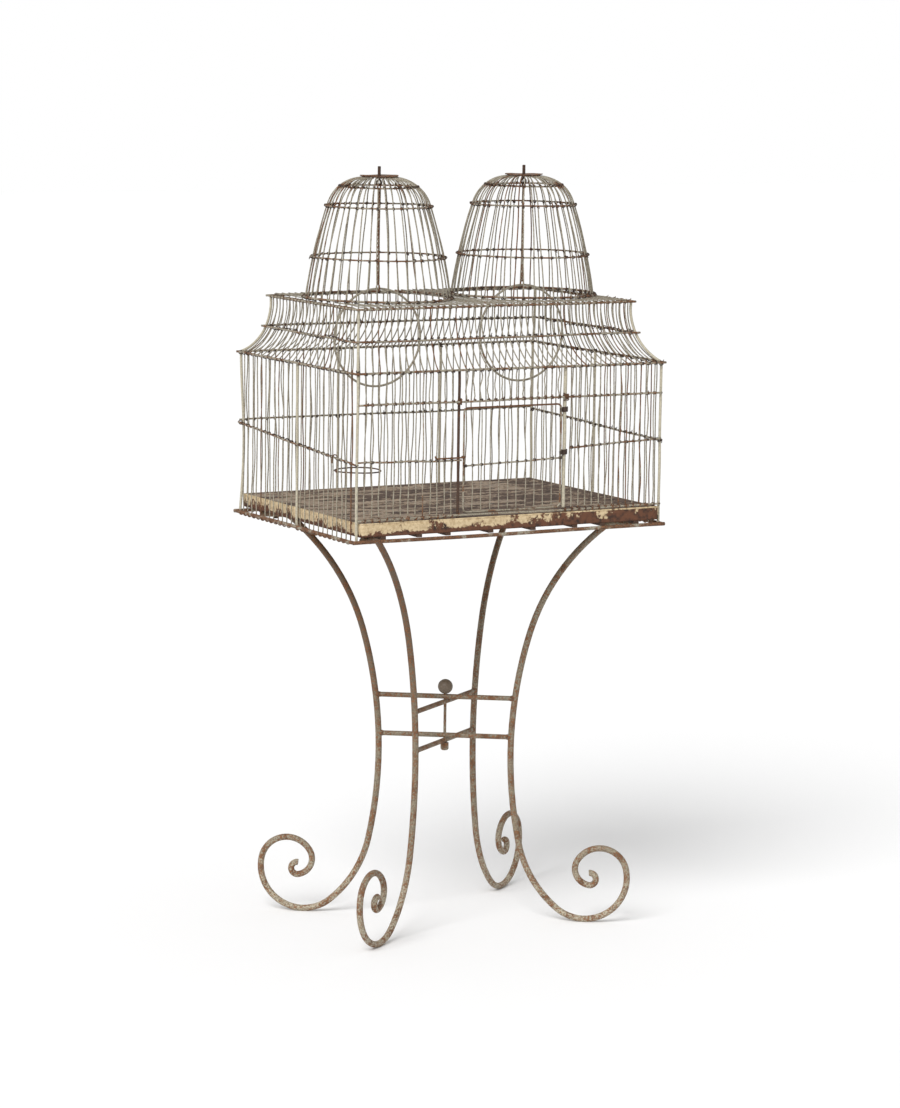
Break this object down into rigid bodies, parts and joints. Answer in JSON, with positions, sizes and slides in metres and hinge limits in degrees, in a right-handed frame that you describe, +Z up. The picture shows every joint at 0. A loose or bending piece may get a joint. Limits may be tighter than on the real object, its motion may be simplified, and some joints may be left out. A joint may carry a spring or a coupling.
{
  "type": "bird cage on stand",
  "caption": "Oblong wire bird cage with two bell domes, hanging ring swings, a side-hung door and a pull-out tray, on four scrolled iron legs",
  "frame": {"origin": "on the floor, under the middle of the cage", "axes": "+Z up, the door and the tray's lip face -Y, +X to the right of someone facing the door"},
  "size_m": [0.768, 0.576, 1.6712],
  "materials": {
    "scroll_legs": "old grey-cream paint over rust speckle",
    "leg_rivets": "rusty",
    "brace_bars": "old grey-cream paint",
    "tie_rod": "old grey-cream paint",
    "ball_finial": "worn paint, brown showing through",
    "tie_nut": "old grey-cream paint",
    "base_frame": "old paint, rust at the corners",
    "tray_slats": "rusty",
    "corner_posts": "worn cream paint",
    "side_posts": "worn cream paint",
    "back_posts": "worn cream paint",
    "latch_post": "rusty where the hook rubs",
    "hinge_post": "thick cream paint",
    "sill_rail": "worn paint",
    "lintel_rail": "worn paint, rusty knots",
    "waist_rails": "worn paint",
    "shoulder_rail": "worn paint, rusty knots",
    "mansard_rail": "worn paint",
    "top_rail": "worn paint, rusty knots",
    "mansard_ribs": "worn cream paint",
    "feeder_ring": "rusty wire",
    "door_frame": "worn paint",
    "door_rail": "worn paint",
    "door_wires": "worn paint",
    "hinge_coils": "rusty coiled wire",
    "door_hook": "rusty",
    "tray": "cream paint worn to brown sheet",
    "front_left_wires": "thin old paint over wire",
    "front_right_wires": "thin old paint over wire",
    "over_door_wires": "thin old paint over wire",
    "back_wires": "thin old paint over wire",
    "left_wires": "thin old paint over wire",
    "right_wires": "thin old paint over wire",
    "mansard_front_wires": "thin old paint over wire",
    "mansard_back_wires": "thin old paint over wire",
    "mansard_left_wires": "thin old paint over wire",
    "mansard_right_wires": "thin old paint over wire",
    "roof_wires": "thin old paint over wire",
    "dome_left_ring": "worn paint, rusty knots",
    "dome_left_hoops": "worn paint, rusty knots",
    "dome_left_wires": "thin old paint over wire",
    "cap_disc_left": "brown, paint mostly gone",
    "cap_pin_left": "brown, paint mostly gone",
    "swing_rod_left": "rusty twisted wire",
    "swing_ring_left": "worn paint",
    "dome_right_ring": "worn paint, rusty knots",
    "dome_right_hoops": "worn paint, rusty knots",
    "dome_right_wires": "thin old paint over wire",
    "cap_disc_right": "brown, paint mostly gone",
    "cap_pin_right": "brown, paint mostly gone",
    "swing_rod_right": "rusty twisted wire",
    "swing_ring_right": "worn paint"
  },
  "bodies": {
    "cage": {"scroll_legs": "scroll_legs", "leg_rivets": "leg_rivets", "brace_bars": "brace_bars", "tie_rod": "tie_rod", "ball_finial": "ball_finial", "tie_nut": "tie_nut", "base_frame": "base_frame", "tray_slats": "tray_slats", "corner_posts": "corner_posts", "side_posts": "side_posts", "back_posts": "back_posts", "latch_post": "latch_post", "hinge_post": "hinge_post", "sill_rail": "sill_rail", "lintel_rail": "lintel_rail", "waist_rails": "waist_rails", "shoulder_rail": "shoulder_rail", "mansard_rail": "mansard_rail", "top_rail": "top_rail", "mansard_ribs": "mansard_ribs", "feeder_ring": "feeder_ring", "front_left_wires": "front_left_wires", "front_right_wires": "front_right_wires", "over_door_wires": "over_door_wires", "back_wires": "back_wires", "left_wires": "left_wires", "right_wires": "right_wires", "mansard_front_wires": "mansard_front_wires", "mansard_back_wires": "mansard_back_wires", "mansard_left_wires": "mansard_left_wires", "mansard_right_wires": "mansard_right_wires", "roof_wires": "roof_wires", "dome_left_ring": "dome_left_ring", "dome_left_hoops": "dome_left_hoops", "dome_left_wires": "dome_left_wires", "cap_disc_left": "cap_disc_left", "cap_pin_left": "cap_pin_left", "dome_right_ring": "dome_right_ring", "dome_right_hoops": "dome_right_hoops", "dome_right_wires": "dome_right_wires", "cap_disc_right": "cap_disc_right", "cap_pin_right": "cap_pin_right"},
    "door": {"door_frame": "door_frame", "door_rail": "door_rail", "door_wires": "door_wires", "hinge_coils": "hinge_coils"},
    "door_hook_body": {"door_hook": "door_hook"},
    "tray_body": {"tray": "tray"},
    "swing_left": {"swing_rod_left": "swing_rod_left"},
    "ring_left": {"swing_ring_left": "swing_ring_left"},
    "swing_right": {"swing_rod_right": "swing_rod_right"},
    "ring_right": {"swing_ring_right": "swing_ring_right"}
  },
  "joints": [
    {"name": "door_hinge", "type": "hinge", "parent": "cage", "child": "door", "pos_m": [0.1305, -0.2756, 1.06], "axis": [0, 0, 1], "range_deg": [0, 110]},
    {"name": "door_hook_turn", "type": "hinge", "parent": "door", "child": "door_hook_body", "pos_m": [-0.118, -0.2772, 1.0684], "axis": [0, 0, 1], "range_deg": [0, 100]},
    {"name": "tray_slide", "type": "slide", "parent": "cage", "child": "tray_body", "axis": [0, -1, 0], "range_m": [0, 0.48]},
    {"name": "swing_left_pivot", "type": "hinge", "parent": "cage", "child": "swing_left", "pos_m": [-0.18, 0, 1.6297], "axis": [1, 0, 0], "range_deg": [-15, 15]},
    {"name": "ring_left_pivot", "type": "hinge", "parent": "swing_left", "child": "ring_left", "pos_m": [-0.18, 0, 1.4077], "axis": [1, 0, 0], "range_deg": [-20, 20]},
    {"name": "swing_right_pivot", "type": "hinge", "parent": "cage", "child": "swing_right", "pos_m": [0.18, 0, 1.6297], "axis": [1, 0, 0], "range_deg": [-15, 15]},
    {"name": "ring_right_pivot", "type": "hinge", "parent": "swing_right", "child": "ring_right", "pos_m": [0.18, 0, 1.4077], "axis": [1, 0, 0], "range_deg": [-20, 20]}
  ]
}
